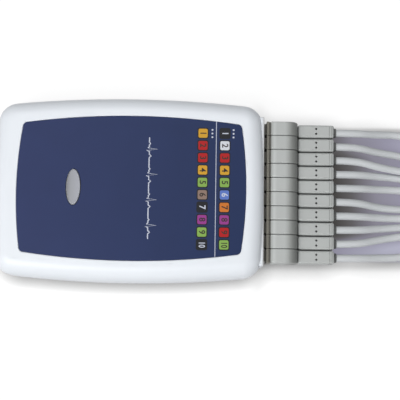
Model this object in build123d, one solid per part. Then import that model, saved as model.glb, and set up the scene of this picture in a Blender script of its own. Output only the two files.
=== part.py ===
from build123d import *

import math
import os

# A desk ECG box with ten lead plugs in a row, their wires wound in one bundle, and ten
# electrode plugs. Millimetres. The origin is on the table under the middle of the box,
# +X points to the lead plugs, +Y to the back and +Z up.

# Box outline: four shallow arcs with rounded corners
body_length = 140.5
body_width = 95.8
side_bow = 4.0
end_bow = 2.0
corner_radius = 10.5

# Box heights above the table
underside_z = 1.2
parting_z = 13.0
body_top_z = 28.0
top_edge_radius = 8.5
bottom_edge_radius = 6.0

# Walls, and the tongue of the bottom cover in the top cover
wall = 2.2
roof = 2.0
floor = 2.0
tongue_height = 1.5
tongue_thickness = 0.9
fit_gap = 0.15
slide_gap = 0.3

# Front label in its recess
label_x = 1.5
label_length = 117.6
label_width = 74.8
label_side_bow = 4.1
label_end_bow = 2.6
label_corner_radius = 2.4
label_thickness = 0.5
label_recess = 0.6

# Oval key and its switch
key_x = -28.2
key_width = 7.3
key_length = 18.4
key_proud = 0.7
key_travel = 0.7
key_flange = 1.1
key_flange_height = 1.0
key_edge = 0.45
stem_diameter = 3.4
switch_size = 6.2
switch_height = 3.4
plunger_diameter = 3.2
plunger_proud = 1.2
plunger_sunk = 1.4

# Circuit board
board_setback = 9.25
board_margin = 0.2
board_thickness = 1.6
board_bottom_z = 10.4
board_corner = 2.0
board_gap = 0.6

# Screws
board_screw_diameter = 2.5
board_screw_length = 6.0
board_screw_head = 4.6
board_screw_head_height = 1.8
board_boss_diameter = 6.0
board_screw_from_back = 7.0
board_screw_from_front = 11.35
board_screw_inset = 6.8
cover_screw_diameter = 3.0
cover_screw_length = 17.0
cover_screw_head = 5.4
cover_screw_head_height = 2.2
cover_screw_sink = 1.0
cover_boss_diameter = 8.2
top_boss_diameter = 6.6
cover_screw_inset = 22.25

# Feet and the blank rating plate underneath
foot_diameter = 10.0
foot_height = 2.0
foot_inset_x = 16.25
foot_inset_y = 20.9
plate_length = 52.0
plate_width = 26.0
plate_thickness = 0.25
plate_recess = 0.3

# Lead sockets: a black block in a white collar at the +X end
lead_count = 10
lead_pitch = 7.4
pin_z = 13.25
pin_diameter = 2.0
pin_reach = 7.7
pin_in_plug = 16.0
pin_tip_round = 0.6
contact_wall = 0.55
contact_gap = 0.05
contact_length = 8.0
tail_width = 1.6
tail_thickness = 0.6
tail_length = 4.4
frame_setback = 0.6
frame_depth = 9.7
frame_wall = 1.1
frame_round = 0.6
frame_flange_depth = 1.8
frame_flange_height = 1.1
frame_flange_y = 30.0
socket_setback = 1.8
socket_depth = 13.9
socket_height = 17.0
socket_margin = 0.5
cavity_depth = 6.0
rib_width = 3.0

# Lead plugs, from the collar outwards
plug_gap = 1.5
nose_width = 5.8
nose_height = 8.8
nose_in_cavity = 3.9
rib_length = 1.3
rib_side = 7.2
rib_tall = 14.6
neck_length = 0.9
neck_side = 7.0
neck_tall = 13.2
block_length = 14.1
block_flat = 8.9
block_side = 7.2
block_edge = 0.6
plug_base_z = 5.0
block_height = 16.5
slope_drop = 6.3
bridge_length = 0.3
bridge_side = 4.6
bridge_tall = 7.0
relief_length = 19.2
relief_side = 6.7
relief_height = 9.5
relief_front_round = 1.3
relief_end_round = 1.1
relief_edge = 1.0
relief_groove = 0.45
relief_groove_depth = 0.2
relief_groove_from_end = (1.2, 2.4)
mould_hole_diameter = 1.1
mould_hole_depth = 2.4
mould_hole_spacing = 2.6
mould_hole_share = 0.51
tip_diameter = 5.0
tip_length = 1.4

# Type B inlet at the -X end
usb_width = 12.0
usb_height = 11.0
usb_depth = 16.4
usb_sheet = 0.4
usb_setback = 1.0
usb_gap = 0.3
usb_mouth_width = 8.45
usb_mouth_height = 7.8
usb_mouth_depth = 9.0
usb_tongue_width = 5.6
usb_tongue_height = 3.2
usb_tongue_length = 7.4
usb_contact_size = 1.0
usb_contact_spacing = 2.5

# Parts on the board, as (x, y, z) sizes, and as (x, y) of their middles with x counted from the
# board's end at the lead sockets (front) or at the inlet (back)
shield_from_front = (35.35, 0.0)
shield_size = (38.0, 50.0, 6.0)
shield_sheet = 0.4
front_chips = (
    ((63.35, 0.0), (10.0, 10.0, 1.4)),
    ((65.35, 18.0), (7.0, 7.0, 1.2)),
    ((65.35, -18.0), (7.0, 9.0, 1.6)),
)
inlet_chip_from_back = (17.0, -22.0)
inlet_chip_size = (5.0, 6.2, 1.5)
transformer_from_back = (17.0, 20.0)
transformer_size = (12.0, 14.0, 9.0)
transformer_foot = 1.0
capacitors_from_back = ((15.0, -8.0), (23.0, -15.0), (23.0, -24.0))
capacitor_diameter = 6.3
capacitor_height = 7.7
crystal_from_back = (33.0, 27.0)
crystal_size = (11.0, 4.6, 3.5)
resistor_gap = 1.35
resistor_size = (3.2, 1.6, 0.6)

# Lead wires and the bundle they are wound in: five abreast and two deep
wire_diameter = 4.0
table_gap = 0.05
bundle_pitch = 4.5
bundle_columns = 5
coil_x = 204.0
coil_y = 8.0
coil_run = 44.0
coil_in_x = 224.0
coil_radius = 33.0
coil_turns = 2
tie_thickness = 1.2
tie_width = 14.0
tie_gap = 0.3

# Electrode plugs: a grip and a 4 mm pin
grip_diameter = 6.8
grip_length = 24.0
grip_neck = 5.2
grip_neck_length = 5.0
grip_edge = 0.8
electrode_pin_diameter = 4.0
electrode_pin_length = 15.0
electrode_pin_in_grip = 10.0
electrode_pin_round = 1.0

# Places that follow from the sizes above
roof_z = body_top_z - roof
floor_top_z = underside_z + floor
board_top_z = board_bottom_z + board_thickness
label_bottom_z = body_top_z - label_recess
label_top_z = label_bottom_z + label_thickness
board_width = (lead_count - 1) * lead_pitch + resistor_size[1] + 2 * board_margin
board_screw_y = board_width / 2 - board_screw_inset
cover_screw_x = body_length / 2 - cover_screw_inset
foot_x = body_length / 2 - foot_inset_x
foot_y = body_width / 2 - foot_inset_y
cover_boss_y = board_width / 2 + board_gap + cover_boss_diameter / 2
frame_front_x = body_length / 2 - frame_setback
frame_back_x = frame_front_x - frame_depth
socket_front_x = frame_front_x - socket_setback
socket_back_x = socket_front_x - socket_depth
socket_half_width = lead_count * lead_pitch / 2 + socket_margin
frame_inner_half = socket_half_width + fit_gap
frame_outer_half = frame_inner_half + frame_wall
socket_z = (pin_z - socket_height / 2, pin_z + socket_height / 2)
frame_inner_z = (socket_z[0] - fit_gap, socket_z[1] + fit_gap)
frame_outer_z = (frame_inner_z[0] - frame_wall, frame_inner_z[1] + frame_wall)
cavity_back_x = socket_front_x - cavity_depth
contact_front_x = cavity_back_x
contact_back_x = contact_front_x - contact_length
contact_outer = pin_diameter + 2 * (contact_gap + contact_wall)
board_front_x = socket_back_x - board_gap
board_back_x = board_setback - body_length / 2
board_screw_x = (board_back_x + board_screw_from_back, board_front_x - board_screw_from_front)
resistor_x = socket_back_x - tail_length - resistor_gap - resistor_size[0] / 2
rib_x = frame_front_x + plug_gap
neck_x = rib_x + rib_length
block_x = neck_x + neck_length
slope_x = block_x + block_flat
bridge_x = block_x + block_length
relief_x = bridge_x + bridge_length
tip_x = relief_x + relief_length
plug_end_x = tip_x + tip_length
nose_x = socket_front_x - nose_in_cavity
pin_tip_x = nose_x - pin_reach
pin_back_x = nose_x + pin_in_plug
block_top_z = plug_base_z + block_height
relief_top_z = plug_base_z + relief_height
wire_z = plug_base_z + relief_height / 2
usb_front_x = -(body_length / 2 - usb_setback)
usb_z = (board_top_z, board_top_z + usb_height)
lead_y = [(lead_count - 1) / 2 * lead_pitch - k * lead_pitch for k in range(lead_count)]
wire_radius = wire_diameter / 2
layer_z = [table_gap + wire_radius + level * bundle_pitch for level in range(6)]
column_radius = [
    coil_radius + (column - (bundle_columns - 1) / 2) * bundle_pitch
    for column in range(bundle_columns)
]
column_y = [coil_y - radius for radius in column_radius]
coil_out_x = coil_x + coil_run

# Wire routes, chosen by hand. Odd wires lie in the bundle's upper layer and even wires in its
# lower one. Both ends of each route run straight on from what they meet.
# Front routes, from the plugs over the table to the bundle: the shared x places, and for each
# wire its y places and its heights. The last x is where a wire reaches its bundle column.
front_run = 11.0
front_x = (130.8, 142.3, 157.0, 172.5, 190.0, 208.0)
front_y = (
    (33.7, 34.2, 30.4, 15.5, -5.5),
    (24.1, 22.9, 19.4, 6.5, -9.5),
    (15.7, 14.2, 10.6, -1.0, -14.0),
    (11.1, 10.6, 8.0, -3.5, -15.5),
    (4.0, 4.1, 2.2, -9.0, -20.5),
    (-5.7, -6.4, -6.4, -11.5, -21.5),
    (-11.2, -11.3, -10.9, -17.0, -26.5),
    (-17.1, -16.2, -14.6, -19.4, -27.5),
    (-23.1, -21.1, -18.9, -24.0, -32.0),
    (-32.5, -32.2, -29.2, -27.0, -33.0),
)
front_z_upper = (4.6, 2.4, 5.0, 6.5, 6.54)
front_z_lower = (4.4, 2.2, 2.1, 2.12, 2.08)
front_z_high = (7.4, 5.2, 5.9, 6.6, 6.54)
high_wire = 2

# End routes, from the bundle over the coil and down to the electrode plugs on the table
leave_x = 259.0
end_run = 11.0
end_routes = (
    ((274.0, -10.0, 24.9), (289.0, 4.0, 24.6), (302.0, 18.0, 17.8), (314.0, 25.0, 8.8)),
    ((274.0, -11.5, 20.5), (292.0, 2.5, 20.5), (303.0, 12.5, 14.0), (314.0, 17.8, 7.4)),
    ((274.0, -16.0, 24.9), (289.0, -5.5, 24.6), (302.0, 4.5, 17.8), (314.0, 10.0, 8.8)),
    ((274.0, -17.0, 20.5), (290.0, -8.0, 20.2), (302.5, -0.5, 13.6), (314.0, 2.8, 7.2)),
    ((274.0, -22.0, 24.9), (289.0, -15.0, 24.4), (302.0, -8.5, 17.4), (314.0, -5.0, 8.6)),
    ((273.0, -22.8, 20.5), (287.0, -18.5, 19.6), (300.5, -14.2, 12.6), (313.0, -12.2, 6.9)),
    ((274.0, -28.0, 24.8), (289.0, -24.5, 23.6), (302.0, -21.2, 16.6), (314.0, -19.8, 8.4)),
    ((272.0, -29.2, 20.1), (285.0, -28.5, 16.9), (298.5, -27.6, 11.0), (311.0, -27.3, 6.2)),
    ((274.0, -34.2, 24.4), (288.5, -34.6, 20.6), (302.0, -34.8, 13.8), (314.0, -34.9, 7.6)),
    ((271.0, -36.0, 19.2), (283.0, -39.8, 15.6), (296.0, -42.0, 9.8), (308.0, -42.6, 5.8)),
)
end_x = (337.0, 337.5, 336.5, 337.0, 337.5, 336.0, 337.0, 334.0, 336.5, 331.0)
end_y = (26.0, 18.4, 10.8, 3.2, -4.4, -12.0, -19.6, -27.2, -34.8, -42.4)


def span(middle, size):
    """Low and high ends of a size laid evenly about a middle."""
    return (middle - size / 2, middle + size / 2)


def brick(x, y, z):
    """Box between low and high values along each axis."""
    middle = Pos((x[0] + x[1]) / 2, (y[0] + y[1]) / 2, (z[0] + z[1]) / 2)
    return middle * Box(x[1] - x[0], y[1] - y[0], z[1] - z[0])


def post(x, y, z, diameter):
    """Upright cylinder between two heights."""
    return Pos(x, y, (z[0] + z[1]) / 2) * Cylinder(diameter / 2, z[1] - z[0])


def rod(x, y, z, diameter):
    """Cylinder along X between two x places."""
    return Pos((x[0] + x[1]) / 2, y, z) * Rot(0, 90, 0) * Cylinder(diameter / 2, x[1] - x[0])


def slab(face, z):
    """Face on the XY plane raised into a solid between two heights."""
    return Pos(0, 0, z[0]) * extrude(face, amount=z[1] - z[0])


def barrel(length, width, x_bow, y_bow, radius, inset=0.0):
    """Face with four bowed sides and rounded corners, drawn in by the inset."""
    x_mid = length / 2 - inset
    y_mid = width / 2 - inset
    x_corner = x_mid - x_bow
    y_corner = y_mid - y_bow
    sides = [
        ThreePointArc((-x_corner, y_corner), (0, y_mid), (x_corner, y_corner)),
        ThreePointArc((x_corner, y_corner), (x_mid, 0), (x_corner, -y_corner)),
        ThreePointArc((x_corner, -y_corner), (0, -y_mid), (-x_corner, -y_corner)),
        ThreePointArc((-x_corner, -y_corner), (-x_mid, 0), (-x_corner, y_corner)),
    ]
    return fillet(make_face(sides).vertices(), radius - inset)


def body_outline(inset=0.0):
    """Outline of the box, drawn in by the inset."""
    return barrel(body_length, body_width, end_bow, side_bow, corner_radius, inset)


def top_edges(solid):
    """Highest edges of a solid."""
    return solid.edges().group_by(Axis.Z)[-1]


def bottom_edges(solid):
    """Lowest edges of a solid."""
    return solid.edges().group_by(Axis.Z)[0]


def board_screw_places():
    """Middles of the four board screws."""
    return [(x, y) for x in board_screw_x for y in (-board_screw_y, board_screw_y)]


def cover_screw_places():
    """Middles of the four cover screws."""
    return [(x, y) for x in (-cover_screw_x, cover_screw_x) for y in (-cover_boss_y, cover_boss_y)]


def foot_places():
    """Middles of the four feet."""
    return [(x, y) for x in (-foot_x, foot_x) for y in (-foot_y, foot_y)]


def end_openings():
    """The collar's and the inlet's openings through both covers."""
    collar = brick(
        (frame_back_x - fit_gap, frame_front_x + plug_gap),
        (-frame_outer_half - fit_gap, frame_outer_half + fit_gap),
        (frame_outer_z[0] - fit_gap, frame_outer_z[1] + fit_gap),
    )
    inlet = brick(
        (-body_length, board_back_x - board_gap),
        span(0, usb_width + 2 * usb_gap),
        (usb_z[0] - usb_gap, usb_z[1] + usb_gap),
    )
    return collar + inlet


def key_shape(margin=0.0):
    """Oval of the key, grown by a margin."""
    return Pos(key_x, 0) * Ellipse(key_width / 2 + margin, key_length / 2 + margin)


def label_shape(inset=0.0):
    """Outline of the front label."""
    shape = barrel(
        label_length, label_width, label_end_bow, label_side_bow, label_corner_radius, inset
    )
    return Pos(label_x, 0) * shape


def top_cover():
    """Upper shell with the label's recess, the key's slot and four screw bosses."""
    outer = slab(body_outline(), (parting_z, body_top_z))
    outer = fillet(top_edges(outer), top_edge_radius)
    inner = slab(body_outline(wall), (parting_z, roof_z))
    inner = fillet(top_edges(inner), top_edge_radius - roof)
    shell = outer - inner
    rabbet = slab(
        body_outline(wall - tongue_thickness - fit_gap),
        (parting_z, parting_z + tongue_height + fit_gap),
    )
    shell -= rabbet
    shell += [
        post(x, y, (parting_z, roof_z), top_boss_diameter) & outer
        for x, y in cover_screw_places()
    ]
    screw_top_z = underside_z + cover_screw_sink + cover_screw_head_height + cover_screw_length
    pilots = [
        post(x, y, (parting_z, screw_top_z + fit_gap), cover_screw_diameter)
        for x, y in cover_screw_places()
    ]
    recess = slab(label_shape(-fit_gap), (label_bottom_z, body_top_z + 1))
    key_slot = slab(key_shape(slide_gap), (roof_z - 1, body_top_z + 1))
    return shell - pilots - recess - key_slot - end_openings()


def bottom_cover():
    """Lower shell with the tongue, the bosses, the socket ribs and the recesses beneath."""
    outer = slab(body_outline(), (underside_z, parting_z))
    outer = fillet(bottom_edges(outer), bottom_edge_radius)
    inner = slab(body_outline(wall), (floor_top_z, parting_z))
    inner = fillet(bottom_edges(inner), bottom_edge_radius - floor)
    tongue = slab(
        body_outline(wall - tongue_thickness), (parting_z - 1, parting_z + tongue_height)
    )
    tongue -= slab(body_outline(wall), (parting_z - 1, parting_z + tongue_height))
    shell = outer - inner
    cover_bosses = [
        post(x, y, (floor_top_z - 1, parting_z), cover_boss_diameter) & outer
        for x, y in cover_screw_places()
    ]
    board_bosses = [
        post(x, y, (floor_top_z - 1, board_bottom_z), board_boss_diameter)
        for x, y in board_screw_places()
    ]
    ribs = [
        brick(
            span(socket_back_x + rib_width, rib_width),
            span(y, lead_pitch),
            (floor_top_z - 1, socket_z[0]),
        )
        for y in (-2 * lead_pitch, 2 * lead_pitch)
    ]
    shell += cover_bosses
    shell += board_bosses
    shell += ribs
    shell += tongue
    head_top_z = underside_z + cover_screw_sink + cover_screw_head_height
    for x, y in cover_screw_places():
        shell -= post(x, y, (underside_z - 1, head_top_z), cover_screw_head + 2 * slide_gap)
        shell -= post(x, y, (underside_z, parting_z + tongue_height), cover_screw_diameter)
    pilot_bottom_z = board_top_z - board_screw_length - fit_gap
    for x, y in board_screw_places():
        shell -= post(x, y, (pilot_bottom_z, board_bottom_z), board_screw_diameter)
    for x, y in foot_places():
        shell -= post(x, y, (underside_z - 1, foot_height), foot_diameter)
    shell -= brick(
        span(0, plate_length + 2 * fit_gap),
        span(0, plate_width + 2 * fit_gap),
        (underside_z - 1, underside_z + plate_recess),
    )
    return shell - end_openings()


def front_label():
    """Label sheet with the key's hole."""
    sheet = slab(label_shape(), (label_bottom_z, label_top_z))
    return sheet - slab(key_shape(slide_gap), (label_bottom_z - 1, label_top_z + 1))


def rating_plate():
    """Blank plate in its recess under the box."""
    plate_top_z = underside_z + plate_recess
    return brick(
        span(0, plate_length), span(0, plate_width), (plate_top_z - plate_thickness, plate_top_z)
    )


def rubber_feet():
    """Four feet pressed into their recesses."""
    return [post(x, y, (0, foot_height), foot_diameter) for x, y in foot_places()]


def oval_key():
    """Push key: a proud oval, a flange under the roof and a stem to the switch."""
    top_z = label_top_z + key_proud
    flange_z = (roof_z - fit_gap - key_flange_height, roof_z - fit_gap)
    cap = slab(key_shape(), (flange_z[1], top_z))
    cap = fillet(top_edges(cap), key_edge)
    flange = slab(key_shape(key_flange), flange_z)
    switch_top_z = board_top_z + switch_height + plunger_proud
    stem = post(key_x, 0, (switch_top_z, flange_z[0]), stem_diameter)
    return cap + flange + stem


def key_switch():
    """Switch body on the board with a bore for its plunger."""
    body = brick(
        span(key_x, switch_size),
        span(0, switch_size),
        (board_top_z, board_top_z + switch_height),
    )
    bore_z = board_top_z + switch_height - plunger_sunk - key_travel - fit_gap
    bore_diameter = plunger_diameter + 2 * slide_gap
    return body - post(key_x, 0, (bore_z, board_top_z + switch_height + 1), bore_diameter)


def switch_plunger():
    """Plunger between the switch body and the key's stem."""
    switch_top_z = board_top_z + switch_height
    return post(key_x, 0, (switch_top_z - plunger_sunk, switch_top_z + plunger_proud), plunger_diameter)


def main_board():
    """Circuit board with its four screw holes."""
    face = Rectangle(board_front_x - board_back_x, board_width)
    face = fillet(face.vertices(), board_corner)
    middle_x = (board_front_x + board_back_x) / 2
    board = Pos(middle_x, 0, 0) * slab(face, (board_bottom_z, board_top_z))
    for x, y in board_screw_places():
        board -= post(x, y, (board_bottom_z - 1, board_top_z + 1), board_screw_diameter)
    return board


def board_screws():
    """Four pan head screws that hold the board."""
    screws = []
    for x, y in board_screw_places():
        head = post(x, y, (board_top_z, board_top_z + board_screw_head_height), board_screw_head)
        head = fillet(top_edges(head), board_screw_head_height / 3)
        shank = post(x, y, (board_top_z - board_screw_length, board_top_z), board_screw_diameter)
        screws.append(head + shank)
    return screws


def cover_screws():
    """Four countersunk-deep screws from below into the top cover."""
    screws = []
    head_z = (underside_z + cover_screw_sink, underside_z + cover_screw_sink + cover_screw_head_height)
    for x, y in cover_screw_places():
        head = post(x, y, head_z, cover_screw_head)
        shank = post(x, y, (head_z[1], head_z[1] + cover_screw_length), cover_screw_diameter)
        slot_depth = cover_screw_head_height / 2
        cross = brick(span(x, cover_screw_head / 2), span(y, 0.8), (head_z[0], head_z[0] + slot_depth))
        cross += brick(span(x, 0.8), span(y, cover_screw_head / 2), (head_z[0], head_z[0] + slot_depth))
        screws.append(head + shank - cross)
    return screws


def lead_frame():
    """White collar round the socket block, with ridges that the covers trap."""
    collar = brick(
        (frame_back_x, frame_front_x), (-frame_outer_half, frame_outer_half), frame_outer_z
    )
    collar = fillet(collar.edges().filter_by(Axis.X), frame_round)
    flange_x = (frame_back_x, frame_back_x + frame_flange_depth)
    collar += brick(
        flange_x,
        (-frame_flange_y, frame_flange_y),
        (frame_outer_z[1] - frame_wall / 2, frame_outer_z[1] + frame_flange_height),
    )
    return collar - brick(
        (frame_back_x - 1, frame_front_x + 1), (-frame_inner_half, frame_inner_half), frame_inner_z
    )


def lead_socket_block():
    """Black block with ten cavities and the bores of their contacts."""
    block = brick(
        (socket_back_x, socket_front_x), (-socket_half_width, socket_half_width), socket_z
    )
    for y in lead_y:
        block -= brick(
            (cavity_back_x, socket_front_x + 1),
            span(y, nose_width + 2 * slide_gap),
            span(pin_z, nose_height + 2 * slide_gap),
        )
        block -= rod((socket_back_x - 1, cavity_back_x + 1), y, pin_z, contact_outer)
    return block


def socket_contacts():
    """Ten tube contacts with tails soldered to the board."""
    contacts = []
    for y in lead_y:
        tube = rod((contact_back_x, contact_front_x), y, pin_z, contact_outer)
        tail = brick(
            (socket_back_x - tail_length, contact_back_x + contact_wall),
            span(y, tail_width),
            (board_top_z, board_top_z + tail_thickness),
        )
        bore = rod((contact_back_x - 1, contact_front_x + 1), y, pin_z, pin_diameter + 2 * contact_gap)
        contacts.append(tube + tail - bore)
    return contacts


def plug_block():
    """Deep end of a lead plug at y = 0: flat on top, then rounded down to the relief."""
    corner = (bridge_x, block_top_z - slope_drop)
    outline = [
        Polyline((slope_x, block_top_z), (block_x, block_top_z), (block_x, plug_base_z)),
        Polyline((block_x, plug_base_z), (bridge_x, plug_base_z), corner),
        TangentArc((slope_x, block_top_z), corner, tangent=(1, 0)),
    ]
    block = extrude(Plane.XZ * make_face(outline), amount=block_side / 2, both=True)
    sides = block.edges().group_by(Axis.Y)
    return fillet(sides[0] + sides[-1], block_edge)


def plug_relief():
    """Narrow strain relief of a lead plug at y = 0, with two grooves and two mould holes."""
    relief = brick((relief_x, tip_x), span(0, relief_side), (plug_base_z, relief_top_z))
    upright = relief.edges().filter_by(Axis.Z).group_by(Axis.X)
    relief = fillet(upright[0], relief_front_round)
    upright = relief.edges().filter_by(Axis.Z).group_by(Axis.X)
    relief = fillet(upright[-1], relief_end_round)
    relief = fillet(top_edges(relief), relief_edge)
    core_side = relief_side - 2 * relief_groove_depth
    core_z = (plug_base_z + relief_groove_depth, relief_top_z - relief_groove_depth)
    for distance in relief_groove_from_end:
        groove_x = span(tip_x - distance, relief_groove)
        ring = brick(groove_x, span(0, relief_side + 1), (plug_base_z - 1, relief_top_z + 1))
        relief -= ring - brick(groove_x, span(0, core_side), core_z)
    hole_x = relief_x + mould_hole_share * relief_length
    for y in span(0, mould_hole_spacing):
        relief -= post(hole_x, y, (relief_top_z - mould_hole_depth, relief_top_z + 1), mould_hole_diameter)
    return relief


def plug_at_middle():
    """Whole lead plug at y = 0, without its pin."""
    plug = brick((nose_x, rib_x + rib_length / 2), span(0, nose_width), span(pin_z, nose_height))
    plug += brick((rib_x, neck_x), span(0, rib_side), span(pin_z, rib_tall))
    plug += brick((neck_x, block_x), span(0, neck_side), span(pin_z, neck_tall))
    plug += plug_block()
    plug += brick((bridge_x, relief_x), span(0, bridge_side), span(wire_z, bridge_tall))
    plug += plug_relief()
    plug += rod((tip_x, plug_end_x), 0, wire_z, tip_diameter)
    return plug - rod((nose_x - 1, pin_back_x), 0, pin_z, pin_diameter)


def lead_pin(y):
    """Contact pin of a lead plug, rounded at its tip."""
    pin = rod((pin_tip_x, pin_back_x), y, pin_z, pin_diameter)
    return fillet(pin.edges().group_by(Axis.X)[0], pin_tip_round)


def usb_shell():
    """Sheet metal shell of the inlet, open at its mouth."""
    usb_x = (usb_front_x, usb_front_x + usb_depth)
    shell = brick(usb_x, span(0, usb_width), usb_z)
    hollow_z = (usb_z[0] + usb_sheet, usb_z[1] - usb_sheet)
    return shell - brick(
        (usb_front_x - 1, usb_x[1] - usb_sheet), span(0, usb_width - 2 * usb_sheet), hollow_z
    )


def usb_insert():
    """Insulator of the inlet with its mouth and tongue."""
    middle_z = (usb_z[0] + usb_z[1]) / 2
    core = brick(
        (usb_front_x + usb_sheet, usb_front_x + usb_depth - usb_sheet),
        span(0, usb_width - 2 * usb_sheet),
        span(middle_z, usb_height - 2 * usb_sheet),
    )
    back_x = usb_front_x + usb_mouth_depth
    core -= brick(
        (usb_front_x, back_x), span(0, usb_mouth_width), span(middle_z, usb_mouth_height)
    )
    core += brick(
        (back_x - usb_tongue_length, back_x), span(0, usb_tongue_width), span(middle_z, usb_tongue_height)
    )
    return core


def usb_contacts():
    """Four contacts, two above and two below the inlet's tongue."""
    middle_z = (usb_z[0] + usb_z[1]) / 2
    back_x = usb_front_x + usb_mouth_depth
    strips = []
    for y in span(0, usb_contact_spacing):
        for side in (-1, 1):
            strip_z = middle_z + side * (usb_tongue_height + usb_sheet) / 2
            strips.append(
                brick(
                    (back_x - usb_tongue_length + usb_sheet, back_x),
                    span(y, usb_contact_size),
                    span(strip_z, usb_sheet),
                )
            )
    return strips


def from_front(place):
    """Place on the board counted from its end at the lead sockets."""
    return (board_front_x - place[0], place[1])


def from_back(place):
    """Place on the board counted from its end at the inlet."""
    return (board_back_x + place[0], place[1])


def on_board(place, size):
    """Plain block that stands on the board."""
    return brick(span(place[0], size[0]), span(place[1], size[1]), (board_top_z, board_top_z + size[2]))


def shield_can():
    """Folded metal lid over the input stage, open to the board."""
    shield_place = from_front(shield_from_front)
    lid = on_board(shield_place, shield_size)
    lid = fillet(lid.edges().filter_by(Axis.Z), 1.5)
    hollow = [size - 2 * shield_sheet for size in shield_size[:2]] + [shield_size[2] - shield_sheet]
    return lid - on_board(shield_place, hollow)


def isolation_transformer():
    """Moulded transformer on two feet that bars the mains from the patient's side."""
    transformer_place = from_back(transformer_from_back)
    body = on_board(transformer_place, transformer_size)
    body = fillet(top_edges(body), 0.8)
    gap = (transformer_size[0] - 2 * transformer_foot, transformer_size[1] + 1, transformer_foot)
    return body - on_board(transformer_place, gap)


def capacitors():
    """Three can capacitors."""
    cans = []
    for x, y in map(from_back, capacitors_from_back):
        can = post(x, y, (board_top_z, board_top_z + capacitor_height), capacitor_diameter)
        cans.append(fillet(top_edges(can), 0.6))
    return cans


def circuit_chips():
    """Four chips, three by the shield and one by the inlet."""
    front = [on_board(from_front(place), size) for place, size in front_chips]
    return front + [on_board(from_back(inlet_chip_from_back), inlet_chip_size)]


def crystal():
    """Crystal in its metal can."""
    can = on_board(from_back(crystal_from_back), crystal_size)
    return fillet(can.edges().filter_by(Axis.Z), crystal_size[1] / 2 - 0.1)


def protection_resistors():
    """One resistor in each lead's path."""
    return [on_board((resistor_x, y), resistor_size) for y in lead_y]


def wire_route(points):
    """Straight runs joined by tangent arcs, each as large as its two runs allow."""
    points = [Vector(*point) for point in points]
    radii = []
    for before, at, after in zip(points, points[1:], points[2:]):
        turn = (at - before).get_angle(after - at)
        run = min((at - before).length, (after - at).length)
        radii.append(0.45 * run / math.tan(math.radians(turn) / 2))
    return FilletPolyline(points, radius=radii), radii


def front_points(k):
    """Route of wire k from its plug to the bundle."""
    level = 0 if k % 2 else 1
    heights = front_z_lower if k % 2 else front_z_upper
    if k == high_wire:
        heights = front_z_high
    column = column_y[k // 2]
    points = [(plug_end_x, lead_y[k], wire_z), (plug_end_x + front_run, lead_y[k], wire_z)]
    points += list(zip(front_x, front_y[k], heights))
    points += [(front_x[-1], column, layer_z[level]), (coil_in_x, column, layer_z[level])]
    return points


def end_points(k):
    """Route of wire k from the bundle to its electrode plug."""
    bundle_z = layer_z[4 if k % 2 else 5]
    column = column_y[k // 2]
    grip_z = grip_diameter / 2
    points = [(coil_out_x, column, bundle_z), (leave_x, column, bundle_z), *end_routes[k]]
    return points + [(end_x[k] - end_run, end_y[k], grip_z), (end_x[k], end_y[k], grip_z)]


def round_tube(path, start, direction):
    """Wire swept along a path."""
    section = Plane(origin=start, z_dir=direction) * Circle(wire_radius)
    return sweep(section, path=path)


def routed_wire(points):
    """Solid of a free stretch, with its smallest bend and its error in volume."""
    path, radii = wire_route(points)
    start = Vector(*points[0])
    wire = round_tube(path, start, Vector(*points[1]) - start)
    exact = math.pi * wire_radius**2 * path.length
    return wire, min(radii), wire.volume / exact - 1


def far_side(start, end, radius):
    """Two quarter turns and the straight run between them, climbing evenly from start to end."""
    away = Vector(0, 1, 0)
    way = (end - start).normalized()
    first = start + away * radius
    last = end + away * radius
    return [
        Edge.make_tangent_arc(start, away, first + way * radius),
        Edge.make_line(first + way * radius, last - way * radius),
        Edge.make_tangent_arc(last - way * radius, way, end),
    ]


def coil_path(k):
    """Centre line of wire k in the winding: each oblong turn climbs along its far side."""
    radius = column_radius[k // 2]
    level = 0 if k % 2 else 1
    left = Vector(coil_x, coil_y, 0)
    right = left + Vector(coil_run, 0, 0)
    ahead = Vector(1, 0, 0)
    inward = Vector(0, radius, 0)
    height = Vector(0, 0, layer_z[level])
    start = Vector(coil_in_x, coil_y - radius, layer_z[level])
    edges = []
    for turn in range(coil_turns):
        corner = right - inward + height
        right_end = right + ahead * radius + height
        edges.append(Edge.make_line(start, corner))
        edges.append(Edge.make_tangent_arc(corner, ahead, right_end))
        height = Vector(0, 0, layer_z[level + 2 * (turn + 1)])
        left_end = left - ahead * radius + height
        edges += far_side(right_end, left_end, radius)
        start = left - inward + height
        edges.append(Edge.make_tangent_arc(left_end, Vector(0, -1, 0), start))
    edges.append(Edge.make_line(start, right - inward + height))
    return Wire(edges)


def coil_wire(k):
    """Solid of wire k in the coil."""
    path = coil_path(k)
    return round_tube(path, path @ 0, Vector(1, 0, 0))


def coil_tie():
    """Strap round the bundle at the middle of its far side, where both turns climb."""
    inner = column_radius[0] - wire_radius - tie_gap
    outer = column_radius[-1] + wire_radius + tie_gap
    slack = tie_gap + bundle_pitch * tie_width / (coil_run + 2 * column_radius[0])
    hole_y = (coil_y + inner, coil_y + outer)
    hole_z = (
        layer_z[0] + bundle_pitch - wire_radius - slack,
        layer_z[3] + bundle_pitch + wire_radius + slack,
    )
    middle = coil_x + coil_run / 2
    strap = brick(
        span(middle, tie_width),
        (hole_y[0] - tie_thickness, hole_y[1] + tie_thickness),
        (hole_z[0] - tie_thickness, hole_z[1] + tie_thickness),
    )
    strap = fillet(strap.edges().filter_by(Axis.X), 2 * tie_thickness)
    hole = brick(span(middle, tie_width + 2), hole_y, hole_z)
    return strap - fillet(hole.edges().filter_by(Axis.X), tie_thickness)


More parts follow.
